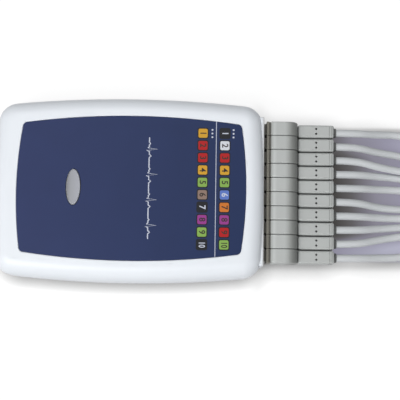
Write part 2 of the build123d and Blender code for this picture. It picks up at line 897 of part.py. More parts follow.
def electrode_grip(k):
    """Grip of electrode plug k, with a narrow neck where the wire enters."""
    z = grip_diameter / 2
    neck_end = end_x[k] + grip_neck_length
    grip = rod((end_x[k], neck_end + grip_edge), end_y[k], z, grip_neck)
    body = rod((neck_end, end_x[k] + grip_length), end_y[k], z, grip_diameter)
    grip += fillet(body.edges().filter_by(GeomType.CIRCLE), grip_edge)
    pin_x = end_x[k] + grip_length - electrode_pin_in_grip
    return grip - rod((pin_x, end_x[k] + grip_length + 1), end_y[k], z, electrode_pin_diameter)


def electrode_pin(k):
    """Contact pin of electrode plug k, rounded at its tip."""
    front_x_k = end_x[k] + grip_length
    pin = rod(
        (front_x_k - electrode_pin_in_grip, front_x_k + electrode_pin_length),
        end_y[k],
        grip_diameter / 2,
        electrode_pin_diameter,
    )
    return fillet(pin.edges().group_by(Axis.X)[-1], electrode_pin_round)


def sampled(path, step=2.5):
    """Points along a path with their distances from its start."""
    count = int(path.length / step)
    return [(path.length * i / count, path @ (i / count)) for i in range(count + 1)]


def least_gap(paths):
    """Smallest gap between the wires of the coil, and of each wire to itself."""
    lines = [sampled(path) for path in paths]
    least = math.inf
    for i, line in enumerate(lines):
        for other in lines[i:]:
            for along, p in line:
                for beside, q in other:
                    if other is line and abs(along - beside) < coil_radius:
                        continue
                    if abs(p.Z - q.Z) < 2 * bundle_pitch:
                        least = min(least, math.dist((p.X, p.Y, p.Z), (q.X, q.Y, q.Z)))
    return least - wire_diameter


def save(name, shape):
    """Write one piece, or a group of like pieces, under its name."""
    pieces = shape if isinstance(shape, list) else [shape]
    solids = [solid for piece in pieces for solid in piece.solids()]
    export_step(solids[0] if len(solids) == 1 else Compound(solids), f"parts/{name}.step")


def main():
    """Build every piece and write it."""
    os.makedirs("parts", exist_ok=True)
    single = (
        top_cover, bottom_cover, front_label, rating_plate, rubber_feet, oval_key, key_switch,
        switch_plunger, main_board, board_screws, cover_screws, lead_frame, lead_socket_block,
        socket_contacts, usb_shell, usb_insert, usb_contacts, shield_can, isolation_transformer,
        circuit_chips, capacitors, crystal, protection_resistors, coil_tie,
    )
    for piece in single:
        save(piece.__name__, piece())
    plug = plug_at_middle()
    ends = []
    for k, y in enumerate(lead_y):
        number = f"{k + 1:02d}"
        save(f"lead_plug_{number}", Pos(0, y, 0) * plug)
        save(f"lead_pin_{number}", lead_pin(y))
        front, front_bend, front_error = routed_wire(front_points(k))
        save(f"lead_wire_{number}", front)
        end, end_bend, end_error = routed_wire(end_points(k))
        ends.append(end)
        print("wire", number, "least bend radius", round(front_bend, 1), round(end_bend, 1))
        print("wire", number, "volume error", f"{front_error:.5f} {end_error:.5f}")
    save("lead_wire_ends", ends)
    paths = [coil_path(k) for k in range(lead_count)]
    save("lead_wire_coil", [coil_wire(k) for k in range(lead_count)])
    print("coil loops", lead_count * coil_turns, "least gap", round(least_gap(paths), 2))
    lengths = [
        wire_route(front_points(k))[0].length + paths[k].length + wire_route(end_points(k))[0].length
        for k in range(lead_count)
    ]
    print("wire lengths", [round(length) for length in lengths])
    save("electrode_grips", [electrode_grip(k) for k in range(lead_count)])
    save("electrode_pins", [electrode_pin(k) for k in range(lead_count)])


main()
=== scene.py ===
import math

import bmesh
import bpy
from mathutils import Matrix, Vector


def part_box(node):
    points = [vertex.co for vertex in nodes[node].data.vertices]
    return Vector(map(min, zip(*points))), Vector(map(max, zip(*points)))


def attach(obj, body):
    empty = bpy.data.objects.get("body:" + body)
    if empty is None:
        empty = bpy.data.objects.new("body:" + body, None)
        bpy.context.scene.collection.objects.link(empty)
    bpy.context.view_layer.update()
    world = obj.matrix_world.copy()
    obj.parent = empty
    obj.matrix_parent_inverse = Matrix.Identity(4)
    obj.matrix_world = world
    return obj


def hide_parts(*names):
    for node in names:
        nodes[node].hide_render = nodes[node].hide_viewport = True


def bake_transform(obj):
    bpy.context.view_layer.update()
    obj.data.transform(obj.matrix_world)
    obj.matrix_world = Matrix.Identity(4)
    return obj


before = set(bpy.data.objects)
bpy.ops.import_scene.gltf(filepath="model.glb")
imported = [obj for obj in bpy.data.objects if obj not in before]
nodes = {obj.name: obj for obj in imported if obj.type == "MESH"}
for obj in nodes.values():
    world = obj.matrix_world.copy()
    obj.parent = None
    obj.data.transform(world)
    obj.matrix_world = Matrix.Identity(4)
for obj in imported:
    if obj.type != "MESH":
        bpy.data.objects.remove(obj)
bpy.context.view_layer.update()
MM = 0.001


# Camera: above the table, a little towards the front of the box and turned by under a degree,
# as the photograph was taken.
camera_data = bpy.data.cameras.new("camera")
camera_data.sensor_width = 36.0
camera_data.lens = 90.0
camera_data.clip_start = 0.01
camera = bpy.data.objects.new("camera", camera_data)
camera.location = (0.04095, -0.0729, 0.5338)
camera.rotation_euler = [math.radians(turn) for turn in (7.55, 0.36, 0.83)]
bpy.context.scene.collection.objects.link(camera)
bpy.context.scene.camera = camera
bpy.context.scene.view_settings.view_transform = "Standard"


# Light: a large soft panel over the table, a weaker one on the far side and a low, faint one in
# front, and an even room that is plain white where it is seen itself, mirrored or looked at
# through something.
panel_aim = (0.05, 0.0, 0.0)
room_colour = (0.96, 0.98, 1.0)
room_strength = 0.24


def soft_panel(name, place, size, power):
    """Square area lamp at a place, turned to the middle of the object."""
    lamp = bpy.data.lights.new(name, "AREA")
    lamp.shape = "SQUARE"
    lamp.size = size
    lamp.energy = power
    panel = bpy.data.objects.new(name, lamp)
    panel.location = place
    panel.rotation_euler = (Vector(panel_aim) - Vector(place)).to_track_quat("-Z", "Y").to_euler()
    bpy.context.scene.collection.objects.link(panel)


def seen_directly(tree):
    """Socket that is 1 for rays from the camera, a mirror or a clear body."""
    path = tree.nodes.new("ShaderNodeLightPath")
    total = path.outputs["Is Camera Ray"]
    for kind in ("Is Glossy Ray", "Is Transmission Ray"):
        sum_node = tree.nodes.new("ShaderNodeMath")
        sum_node.use_clamp = True
        tree.links.new(total, sum_node.inputs[0])
        tree.links.new(path.outputs[kind], sum_node.inputs[1])
        total = sum_node.outputs["Value"]
    return total


soft_panel("main_panel", (-0.40, -0.52, 1.00), size=0.7, power=9.35)
soft_panel("front_panel", (0.05, -0.95, 0.22), size=0.5, power=0.8)
soft_panel("back_panel", (-0.05, 0.50, 1.15), size=0.7, power=3.0)

room = bpy.data.worlds.new("room")
room.use_nodes = True
bpy.context.scene.world = room
room.node_tree.nodes.clear()
room_light = room.node_tree.nodes.new("ShaderNodeBackground")
room_light.inputs["Color"].default_value = (*room_colour, 1.0)
room_light.inputs["Strength"].default_value = room_strength
room_white = room.node_tree.nodes.new("ShaderNodeBackground")
room_white.inputs["Color"].default_value = (1.0, 1.0, 1.0, 1.0)
room_mix = room.node_tree.nodes.new("ShaderNodeMixShader")
room_out = room.node_tree.nodes.new("ShaderNodeOutputWorld")
room.node_tree.links.new(seen_directly(room.node_tree), room_mix.inputs["Fac"])
room.node_tree.links.new(room_light.outputs["Background"], room_mix.inputs[1])
room.node_tree.links.new(room_white.outputs["Background"], room_mix.inputs[2])
room.node_tree.links.new(room_mix.outputs["Shader"], room_out.inputs["Surface"])


# Table: a plain white top, which stays white to the picture's edge and keeps the shadows. A
# contact shade is painted into its colour, leaning to the front and deeper beside the outer
# leads. Between the wires a shadow of the wires is painted in, dark close to the plugs and a
# lilac grey farther out.
table_half_side = 3.0
table_unseen_colour = (0.42, 0.42, 0.43)
# The painted contact shade looks up and a little to the back. It reaches less far round the box
# than round the low wires, and passes from one reach to the other between two places along X.
shade_lean_y = 0.18
shade_lean_z = 0.97
shade_reach = (8.0, 11.5)
leads_begin = (62.0, 70.0)
# Under the leads the painted shade beside it leaves only this share of the light, up to two
# edges along Y, each given from the outside in.
painted_deeper_shade = 0.68
shade_edges = ((39.8, 36.6), (-42.0, -34.6))
# The painted shadow between the wires has two ends along X and two edges along Y, from the
# outside in too, and its colours lie along X.
dim_start = (107.0, 108.4)
dim_end = (190.0, 165.0)
dim_edges = ((35.8, 33.4), (-35.2, -32.8))
dim_from_x = 100.0
dim_length = 90.0
painted_dim_colours = (
    (106.0, (0.052, 0.048, 0.044)),
    (118.0, (0.125, 0.12, 0.125)),
    (131.0, (0.265, 0.255, 0.31)),
    (150.0, (0.31, 0.30, 0.385)),
    (175.0, (0.43, 0.43, 0.53)),
)
# How far the colours are moved toward the plugs beside the outer wires: from y, to y, by.
dim_moves = ((20.0, 30.0, 12.0), (-19.0, -29.0, 40.0))
# How strongly the top shines by itself where it is seen directly, near the object and far off,
# and how much of its white is this shine.
glow_places = (350.0, 1000.0)
glow_strengths = (1.08, 1.3)
glow_share = 0.8


def graded(tree, value, places, results=(0.0, 1.0), unit=MM):
    """Smooth step of a value between two places, from the first result to the second."""
    step = tree.nodes.new("ShaderNodeMapRange")
    step.interpolation_type = "SMOOTHSTEP"
    step.inputs["From Min"].default_value = places[0] * unit
    step.inputs["From Max"].default_value = places[1] * unit
    step.inputs["To Min"].default_value = results[0]
    step.inputs["To Max"].default_value = results[1]
    tree.links.new(value, step.inputs["Value"])
    return step.outputs["Result"]


def combined(tree, operation, first, second):
    """Sum or product of two values."""
    node = tree.nodes.new("ShaderNodeMath")
    node.operation = operation
    tree.links.new(first, node.inputs[0])
    tree.links.new(second, node.inputs[1])
    return node.outputs["Value"]


def inside_edges(tree, share, value, edges):
    """Share that falls to nothing past each edge of a value."""
    for edge in edges:
        share = combined(tree, "MULTIPLY", share, graded(tree, value, edge))
    return share


def fill_ramp(node, colours, start, length):
    """Put a ramp's colours at their places along X, in millimetres."""
    stops = node.color_ramp.elements
    stops.remove(stops[0])
    stops[0].position = (colours[0][0] - start) / length
    stops[0].color = (*colours[0][1], 1.0)
    for place, colour in colours[1:]:
        stop = stops.new((place - start) / length)
        stop.color = (*colour, 1.0)


table_shape = bmesh.new()
bmesh.ops.create_grid(table_shape, x_segments=1, y_segments=1, size=table_half_side)
table_mesh = bpy.data.meshes.new("table")
table_shape.to_mesh(table_mesh)
table_shape.free()
table = bpy.data.objects.new("table", table_mesh)
bpy.context.scene.collection.objects.link(table)
table_paint = bpy.data.materials.new("table_white")
table_paint.use_nodes = True
table_tree = table_paint.node_tree
table_tree.nodes.clear()
table_place = table_tree.nodes.new("ShaderNodeTexCoord")
table_split = table_tree.nodes.new("ShaderNodeSeparateXYZ")
table_tree.links.new(table_place.outputs["Object"], table_split.inputs["Vector"])
table_x = table_split.outputs["X"]
table_y = table_split.outputs["Y"]
table_lean = table_tree.nodes.new("ShaderNodeCombineXYZ")
table_lean.inputs["Y"].default_value = shade_lean_y
table_lean.inputs["Z"].default_value = shade_lean_z
contact_shades = []
for reach in shade_reach:
    near = table_tree.nodes.new("ShaderNodeAmbientOcclusion")
    near.inputs["Distance"].default_value = reach * MM
    table_tree.links.new(table_lean.outputs["Vector"], near.inputs["Normal"])
    contact_shades.append(near.outputs["AO"])
at_leads = graded(table_tree, table_x, leads_begin)
contact_shade = table_tree.nodes.new("ShaderNodeMix")
table_tree.links.new(at_leads, contact_shade.inputs["Factor"])
table_tree.links.new(contact_shades[0], contact_shade.inputs["A"])
table_tree.links.new(contact_shades[1], contact_shade.inputs["B"])
before_end = graded(table_tree, table_x, dim_end)
under_leads = combined(table_tree, "MULTIPLY", at_leads, before_end)
under_leads = inside_edges(table_tree, under_leads, table_y, shade_edges)
deeper = graded(table_tree, under_leads, (0.0, 1.0), (1.0, painted_deeper_shade), unit=1.0)
painted_table_shade = combined(table_tree, "MULTIPLY", contact_shade.outputs["Result"], deeper)
dim_x = table_x
for from_y, to_y, move in dim_moves:
    moved = graded(table_tree, table_y, (from_y, to_y), (0.0, move * MM))
    dim_x = combined(table_tree, "ADD", dim_x, moved)
dim_share = table_tree.nodes.new("ShaderNodeMapRange")
dim_share.inputs["From Min"].default_value = dim_from_x * MM
dim_share.inputs["From Max"].default_value = (dim_from_x + dim_length) * MM
dim_ramp = table_tree.nodes.new("ShaderNodeValToRGB")
fill_ramp(dim_ramp, painted_dim_colours, dim_from_x, dim_length)
table_tree.links.new(dim_x, dim_share.inputs["Value"])
table_tree.links.new(dim_share.outputs["Result"], dim_ramp.inputs["Fac"])
past_start = graded(table_tree, table_x, dim_start)
between_wires = combined(table_tree, "MULTIPLY", past_start, before_end)
between_wires = inside_edges(table_tree, between_wires, table_y, dim_edges)
# The top's colour: the painted contact shade, and between the wires the painted shadow.
table_colour = table_tree.nodes.new("ShaderNodeMix")
table_colour.data_type = "RGBA"
table_tree.links.new(between_wires, table_colour.inputs["Factor"])
table_tree.links.new(painted_table_shade, table_colour.inputs["A"])
table_tree.links.new(dim_ramp.outputs["Color"], table_colour.inputs["B"])
table_seen = table_tree.nodes.new("ShaderNodeBsdfDiffuse")
table_glow = table_tree.nodes.new("ShaderNodeEmission")
table_far = table_tree.nodes.new("ShaderNodeVectorMath")
table_far.operation = "LENGTH"
table_tree.links.new(table_place.outputs["Object"], table_far.inputs[0])
table_strength = graded(table_tree, table_far.outputs["Value"], glow_places, glow_strengths)
table_tree.links.new(table_strength, table_glow.inputs["Strength"])
table_white = table_tree.nodes.new("ShaderNodeMixShader")
table_white.inputs["Fac"].default_value = glow_share
table_unseen = table_tree.nodes.new("ShaderNodeBsdfDiffuse")
table_unseen.inputs["Color"].default_value = (*table_unseen_colour, 1.0)
table_pick = table_tree.nodes.new("ShaderNodeMixShader")
table_out = table_tree.nodes.new("ShaderNodeOutputMaterial")
table_tree.links.new(table_colour.outputs["Result"], table_seen.inputs["Color"])
table_tree.links.new(table_colour.outputs["Result"], table_glow.inputs["Color"])
table_tree.links.new(table_seen.outputs["BSDF"], table_white.inputs[1])
table_tree.links.new(table_glow.outputs["Emission"], table_white.inputs[2])
table_tree.links.new(seen_directly(table_tree), table_pick.inputs["Fac"])
table_tree.links.new(table_unseen.outputs["BSDF"], table_pick.inputs[1])
table_tree.links.new(table_white.outputs["Shader"], table_pick.inputs[2])
table_tree.links.new(table_pick.outputs["Shader"], table_out.inputs["Surface"])
table.data.materials.append(table_paint)


# Housing: two shells injection moulded in white ABS with a fine spark texture. The upper one
# sits on a tongue of the lower one, and four screws from below hold them together.
drift_size = 18.0
gloss_range = (0.9, 1.12)
grain_strength = 0.5
# Points of a CAD node's mesh closer than this many millimetres are one, faces that turn by less
# than this many degrees are one, and edges sharper than this many degrees are rounded.
weld_distance = 0.002
flat_below = 0.2
sharp_above = 50.0


def finish_material(
    name, colour, roughness, grain, depth, shade=0.04, metal=0.0, sheen=0.0, gleam=0.5
):
    """Material with fine grain of a size and depth in millimetres, and a slow drift of shade."""
    paint = bpy.data.materials.new(name)
    paint.use_nodes = True
    tree = paint.node_tree
    surface = tree.nodes["Principled BSDF"]
    surface.inputs["Metallic"].default_value = metal
    surface.inputs["Sheen Weight"].default_value = sheen
    surface.inputs["Specular IOR Level"].default_value = gleam
    place = tree.nodes.new("ShaderNodeTexCoord")
    fine = tree.nodes.new("ShaderNodeTexNoise")
    fine.inputs["Scale"].default_value = 1 / (grain * MM)
    fine.inputs["Detail"].default_value = 3.0
    slow = tree.nodes.new("ShaderNodeTexNoise")
    slow.inputs["Scale"].default_value = 1 / (drift_size * MM)
    slow.inputs["Detail"].default_value = 4.0
    tint = tree.nodes.new("ShaderNodeMix")
    tint.data_type = "RGBA"
    darker = [channel * (1 - shade) for channel in colour]
    lighter = [min(1.0, channel * (1 + shade)) for channel in colour]
    tint.inputs["A"].default_value = (*darker, 1.0)
    tint.inputs["B"].default_value = (*lighter, 1.0)
    gloss = tree.nodes.new("ShaderNodeMapRange")
    gloss.inputs["To Min"].default_value = roughness * gloss_range[0]
    gloss.inputs["To Max"].default_value = min(1.0, roughness * gloss_range[1])
    relief = tree.nodes.new("ShaderNodeBump")
    relief.inputs["Strength"].default_value = grain_strength
    relief.inputs["Distance"].default_value = depth * MM
    tree.links.new(place.outputs["Object"], fine.inputs["Vector"])
    tree.links.new(place.outputs["Object"], slow.inputs["Vector"])
    tree.links.new(slow.outputs["Fac"], tint.inputs["Factor"])
    tree.links.new(tint.outputs["Result"], surface.inputs["Base Color"])
    tree.links.new(fine.outputs["Fac"], gloss.inputs["Value"])
    tree.links.new(gloss.outputs["Result"], surface.inputs["Roughness"])
    tree.links.new(fine.outputs["Fac"], relief.inputs["Height"])
    tree.links.new(relief.outputs["Normal"], surface.inputs["Normal"])
    return paint


def show(name, mesh, paint, body="box", smooth_below=40.0):
    """Shown piece with its material, smooth below an angle, on the body it rides on."""
    mesh.materials.clear()
    mesh.materials.append(paint)
    mesh.shade_smooth()
    mesh.set_sharp_from_angle(angle=math.radians(smooth_below))
    piece = bpy.data.objects.new(name, mesh)
    bpy.context.scene.collection.objects.link(piece)
    even = piece.modifiers.new("even", "WEIGHTED_NORMAL")
    even.keep_sharp = True
    if body:
        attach(piece, body)
    return piece


def rounded_copy(node, name, paint, edge, body="box"):
    """Copy of a CAD node that stands for it, its sharp edges rounded by so many millimetres."""
    shape = bmesh.new()
    shape.from_mesh(nodes[node].data)
    bmesh.ops.remove_doubles(shape, verts=shape.verts, dist=weld_distance * MM)
    bmesh.ops.dissolve_limit(
        shape, angle_limit=math.radians(flat_below), verts=shape.verts, edges=shape.edges
    )
    sharpest = math.radians(sharp_above)
    sharp = [side for side in shape.edges if side.calc_face_angle(0.0) > sharpest]
    if edge and sharp:
        bmesh.ops.bevel(
            shape, geom=sharp, offset=edge * MM, segments=2, profile=0.5,
            affect="EDGES", clamp_overlap=False, material=-1,
        )
    mesh = bpy.data.meshes.new(name)
    shape.to_mesh(mesh)
    shape.free()
    piece = show(name, mesh, paint, body)
    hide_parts(node)
    return piece


shell_white = (0.85, 0.885, 0.93)
shell_plastic = finish_material(
    "shell_plastic", shell_white, roughness=0.38, grain=0.35, depth=0.012, shade=0.015
)
rounded_copy("top_cover", "upper_shell", shell_plastic, edge=0.25)
rounded_copy("bottom_cover", "lower_shell", shell_plastic, edge=0.2)


# Front label: a navy polyester film with a satin face, die cut and glued into the upper shell's
# recess round the key. A reflection is painted into its blue, lighter at the end away from the
# leads and deeper toward them. Its print is thin ink: a pulse trace, a dividing line, numbered
# squares on dark rims in two columns, and dots over these.
# Where the painted reflection in the blue runs along X, and its tints at the two ends.
label_from_x = -58.0
label_to_x = 61.0
label_reflection_tints = ((1.05, 1.12, 1.12), (0.42, 0.72, 0.84))
label_blue = finish_material(
    "label_film", (0.021, 0.031, 0.098),
    roughness=0.42, grain=0.6, depth=0.006, shade=0.10, gleam=0.2,
)
label_tree = label_blue.node_tree
label_surface = label_tree.nodes["Principled BSDF"]
label_drift = label_surface.inputs["Base Color"].links[0].from_socket
label_place = label_tree.nodes.new("ShaderNodeTexCoord")
label_split = label_tree.nodes.new("ShaderNodeSeparateXYZ")
label_along = label_tree.nodes.new("ShaderNodeMapRange")
label_along.inputs["From Min"].default_value = label_from_x * MM
label_along.inputs["From Max"].default_value = label_to_x * MM
label_painted_reflection = label_tree.nodes.new("ShaderNodeMix")
label_painted_reflection.data_type = "RGBA"
label_painted_reflection.blend_type = "MULTIPLY"
label_painted_reflection.inputs["Factor"].default_value = 1.0
label_reflection_mix = label_tree.nodes.new("ShaderNodeMix")
label_reflection_mix.data_type = "RGBA"
label_reflection_mix.inputs["A"].default_value = (*label_reflection_tints[0], 1.0)
label_reflection_mix.inputs["B"].default_value = (*label_reflection_tints[1], 1.0)
label_tree.links.new(label_place.outputs["Object"], label_split.inputs["Vector"])
label_tree.links.new(label_split.outputs["X"], label_along.inputs["Value"])
label_tree.links.new(label_along.outputs["Result"], label_reflection_mix.inputs["Factor"])
label_tree.links.new(label_drift, label_painted_reflection.inputs["A"])
label_tree.links.new(label_reflection_mix.outputs["Result"], label_painted_reflection.inputs["B"])
label_tree.links.new(label_painted_reflection.outputs["Result"], label_surface.inputs["Base Color"])
rounded_copy("front_label", "label_sheet", label_blue, edge=0.08)
label_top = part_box("front_label")[1].z

print_thickness = 0.03
trace_x = 10.4
trace_y = (26.3, -26.2)
trace_stroke = 0.62
# One beat of the trace: the share of its length, and how far the line swings in millimetres.
trace_beat = (
    (0.0, 0.0), (0.20, 0.0), (0.25, 0.6), (0.30, 0.0), (0.38, 0.0), (0.42, -0.7), (0.47, 4.2),
    (0.52, -1.3), (0.56, 0.0), (0.68, 0.0), (0.74, 1.0), (0.80, 0.0), (1.0, 0.0),
)
trace_beats = 4
# The dividing line's two ends.
divider = ((44.86, 35.7), (44.61, -34.9))
divider_stroke = 0.34
square_side = 4.7
square_round = 0.8
rim_side = 5.8
rim_round = 1.1
square_x = (37.9, 49.2)
square_first_y = 28.8
square_pitch = 6.39
number_height = 3.1
digit_share_of_type = 0.7
digit_width = 0.95
ten_width = 0.72
number_bolder = 0.09
# In thicknesses of the print: how low the rims lie, and how high and thick the numbers are.
rim_level = -0.5
number_level = 1.25
number_extrude = 0.2
dots_x = (42.7, 53.6)
dots_y = (30.6, 28.7, 26.8)
dot_size = 0.9
dot_round = 0.3
ink_colours = {
    "amber": (0.66, 0.35, 0.028),
    "red": (0.44, 0.010, 0.012),
    "green": (0.24, 0.42, 0.085),
    "brown": (0.27, 0.185, 0.15),
    "black": (0.006, 0.007, 0.010),
    "purple": (0.31, 0.045, 0.26),
    "white": (0.70, 0.72, 0.77),
    "blue": (0.11, 0.19, 0.55),
    "orange": (0.62, 0.18, 0.025),
}
left_column = (
    "amber", "red", "red", "amber", "green", "brown", "black", "purple", "green", "black",
)
right_column = (
    "black", "white", "red", "amber", "green", "blue", "orange", "purple", "red", "green",
)
pale_numbered = ("black", "blue")


def printed_patch(shape, x, y, width, height, corner, low=0.0):
    """Add to a bmesh one flat patch of ink with round corners, on the label or a little lower."""
    made = bmesh.ops.create_grid(shape, x_segments=1, y_segments=1, size=0.5)["verts"]
    bmesh.ops.scale(shape, vec=(width * MM, height * MM, 1.0), verts=made)
    bmesh.ops.translate(shape, vec=(x * MM, y * MM, label_top + low * MM), verts=made)
    if corner:
        rounded = bmesh.ops.bevel(
            shape, geom=made, offset=corner * MM, segments=4, profile=0.5,
            affect="VERTICES", material=-1,
        )
        made = rounded["verts"] + made
    faces = {face for vert in made if vert.is_valid for face in vert.link_faces}
    raised = bmesh.ops.extrude_face_region(shape, geom=list(faces))["geom"]
    lifted = [part for part in raised if isinstance(part, bmesh.types.BMVert)]
    bmesh.ops.translate(shape, vec=(0, 0, print_thickness * MM), verts=lifted)


def print_piece(name, shape, paint):
    """Shown piece of ink from a finished bmesh."""
    bmesh.ops.recalc_face_normals(shape, faces=shape.faces)
    mesh = bpy.data.meshes.new(name)
    shape.to_mesh(mesh)
    shape.free()
    return show(name, mesh, paint)


inks = {
    name: finish_material(
        f"ink_{name}", colour, roughness=0.38, grain=0.5, depth=0.004, shade=0.05, gleam=0.2
    )
    for name, colour in ink_colours.items()
}
square_places = {name: [] for name in ink_colours}
for column, column_x in zip((left_column, right_column), square_x):
    for row, name in enumerate(column):
        square_places[name].append((column_x, square_first_y - row * square_pitch))
for name, places in square_places.items():
    squares = bmesh.new()
    for x, y in places:
        printed_patch(squares, x, y, square_side, square_side, square_round)
    if name == "black":
        # The rims under all the squares are printed with the black ones.
        for x, y in sum(square_places.values(), []):
            low = rim_level * print_thickness
            printed_patch(squares, x, y, rim_side, rim_side, rim_round, low)
    print_piece(f"label_squares_{name}", squares, inks[name])

thin_ink = finish_material(
    "ink_pale", (0.55, 0.58, 0.68), roughness=0.40, grain=0.5, depth=0.004, shade=0.04
)
marks = bmesh.new()
for x in dots_x:
    for y in dots_y:
        printed_patch(marks, x, y, dot_size, dot_size, dot_round)
divider_x = (divider[0][0] + divider[1][0]) / 2
divider_y = (divider[0][1] + divider[1][1]) / 2
divider_length = divider[0][1] - divider[1][1]
printed_patch(marks, divider_x, divider_y, divider_stroke, divider_length, 0)
print_piece("label_marks", marks, thin_ink)


def route_curve(name, points, thickness=0.0, smooth=True):
    """Spline on a route's points, bare or with a round section."""
    curve = bpy.data.curves.new(name, "CURVE")
    curve.dimensions = "3D"
    spline = curve.splines.new("NURBS" if smooth else "POLY")
    spline.points.add(len(points) - 1)
    for place, point in zip(spline.points, points):
        place.co = (*point, 1.0)
    if smooth:
        spline.order_u = 3
        spline.use_endpoint_u = True
        spline.resolution_u = 6
    curve.bevel_depth = thickness / 2
    curve.bevel_resolution = 5
    curve.use_fill_caps = thickness > 0
    return bpy.data.objects.new(name, curve)


def mesh_of(source):
    """Mesh that Blender makes of a curve or text, whose own object is then dropped."""
    bpy.context.scene.collection.objects.link(source)
    bpy.context.view_layer.update()
    seen = source.evaluated_get(bpy.context.evaluated_depsgraph_get())
    mesh = bpy.data.meshes.new_from_object(seen)
    bpy.data.objects.remove(source)
    return mesh


beat_length = (trace_y[0] - trace_y[1]) / trace_beats
trace_points = []
for beat in range(trace_beats):
    # A later beat starts at the last point of the one before it.
    for along, height in trace_beat[1:] if beat else trace_beat:
        trace_points.append((height * MM, -(beat + along) * beat_length * MM, 0.0))
trace_mesh = mesh_of(route_curve("trace", trace_points, trace_stroke * MM, smooth=False))
trace_z = label_top + 0.5 * print_thickness * MM
trace_place = Matrix.Translation((trace_x * MM, trace_y[0] * MM, trace_z))
trace_flat = Matrix.Diagonal((1.0, 1.0, print_thickness / trace_stroke, 1.0))
trace_mesh.transform(trace_place @ trace_flat)
show("label_trace", trace_mesh, thin_ink)

dark_ink = finish_material(
    "ink_dark", (0.03, 0.022, 0.018), roughness=0.40, grain=0.5, depth=0.004, shade=0.05, gleam=0.2
)
number_meshes = {"dark": [], "pale": []}
for column, column_x in zip((left_column, right_column), square_x):
    for row, name in enumerate(column):
        text = bpy.data.curves.new("number", "FONT")
        text.body = str(row + 1)
        text.size = number_height * MM / digit_share_of_type
        text.align_x = "CENTER"
        text.align_y = "CENTER"
        text.extrude = number_extrude * print_thickness * MM
        text.offset = number_bolder * MM
        text.resolution_u = 3
        digits = mesh_of(bpy.data.objects.new("number", text))
        y = square_first_y - row * square_pitch
        z = label_top + number_level * print_thickness * MM
        width = digit_width if len(text.body) == 1 else ten_width
        place = Matrix.Translation((column_x * MM, y * MM, z))
        turn = Matrix.Rotation(-math.pi / 2, 4, "Z") @ Matrix.Diagonal((width, 1.0, 1.0, 1.0))
        digits.transform(place @ turn)
        number_meshes["pale" if name in pale_numbered else "dark"].append(digits)
for tone, paint in (("dark", dark_ink), ("pale", thin_ink)):
    numbers = bmesh.new()
    for digits in number_meshes[tone]:
        numbers.from_mesh(digits)
        bpy.data.meshes.remove(digits)
    print_piece(f"label_numbers_{tone}", numbers, paint)


# Oval key: a grey key cap moulded with its stem, free to slide in the slot in label and shell.
# Its colour is painted darker along the slot's edge on one side, a painted shade where the
# slot keeps the light off it.
key_plastic = finish_material(
    "key_plastic", (0.375, 0.385, 0.425), roughness=0.42, grain=0.4, depth=0.015, shade=0.06
)
key_from_x = -32.0
key_span_x = 8.0
# Painted shade along X, multiplied into the key's grey.
key_painted_shades = (
    (-31.8, (0.46, 0.46, 0.44)),
    (-29.4, (0.84, 0.84, 0.82)),
    (-25.6, (1.0, 1.0, 1.0)),
)
# How far the painted shade in narrow hollows reaches, in millimetres.
painted_hollow_reach = 1.2


def shade_along(paint, shades, start, length):
    """Multiply a material's colour by painted light and shade along X; paint shade in narrow
    hollows.
    """
    tree = paint.node_tree
    surface = tree.nodes["Principled BSDF"]
    plain = surface.inputs["Base Color"].links[0].from_socket
    place = tree.nodes.new("ShaderNodeTexCoord")
    split = tree.nodes.new("ShaderNodeSeparateXYZ")
    along = tree.nodes.new("ShaderNodeMapRange")
    along.inputs["From Min"].default_value = start * MM
    along.inputs["From Max"].default_value = (start + length) * MM
    ramp = tree.nodes.new("ShaderNodeValToRGB")
    fill_ramp(ramp, shades, start, length)
    shaded = tree.nodes.new("ShaderNodeMix")
    shaded.data_type = "RGBA"
    shaded.blend_type = "MULTIPLY"
    shaded.inputs["Factor"].default_value = 1.0
    hollow = tree.nodes.new("ShaderNodeAmbientOcclusion")
    hollow.only_local = True
    hollow.inputs["Distance"].default_value = painted_hollow_reach * MM
    tree.links.new(place.outputs["Object"], split.inputs["Vector"])
    tree.links.new(split.outputs["X"], along.inputs["Value"])
    tree.links.new(along.outputs["Result"], ramp.inputs["Fac"])
    tree.links.new(plain, shaded.inputs["A"])
    tree.links.new(ramp.outputs["Color"], shaded.inputs["B"])
    tree.links.new(shaded.outputs["Result"], hollow.inputs["Color"])
    tree.links.new(hollow.outputs["Color"], surface.inputs["Base Color"])


shade_along(key_plastic, key_painted_shades, key_from_x, key_span_x)
rounded_copy("oval_key", "key_cap", key_plastic, edge=0.12, body="key")


# Socket end: a white collar trapped by the two shells round a black block with ten sockets,
# each with a tinned tube contact whose tail is soldered to the board. The plugs' shade is
# painted into the collar's white toward its outer end.
socket_plastic = finish_material(
    "socket_plastic", (0.018, 0.018, 0.02), roughness=0.5, grain=0.3, depth=0.01, shade=0.1
)
contact_metal = finish_material(
    "contact_metal", (0.78, 0.70, 0.48),
    roughness=0.25, grain=0.4, depth=0.004, shade=0.05, metal=1.0,
)
collar_shaded_plastic = finish_material(
    "collar_shaded_plastic", shell_white, roughness=0.38, grain=0.35, depth=0.012, shade=0.015
)
# Painted shade along X, darker toward the collar's outer end.
collar_from_x = 66.0
collar_span_x = 8.0
collar_painted_shades = (
    (68.4, (1.0, 1.0, 1.0)),
    (69.3, (0.68, 0.66, 0.64)),
    (70.2, (0.38, 0.36, 0.34)),
)
shade_along(collar_shaded_plastic, collar_painted_shades, collar_from_x, collar_span_x)
rounded_copy("lead_frame", "socket_collar", collar_shaded_plastic, edge=0.25)
rounded_copy("lead_socket_block", "socket_block", socket_plastic, edge=0.15)
rounded_copy("socket_contacts", "socket_tubes", contact_metal, edge=0.05)
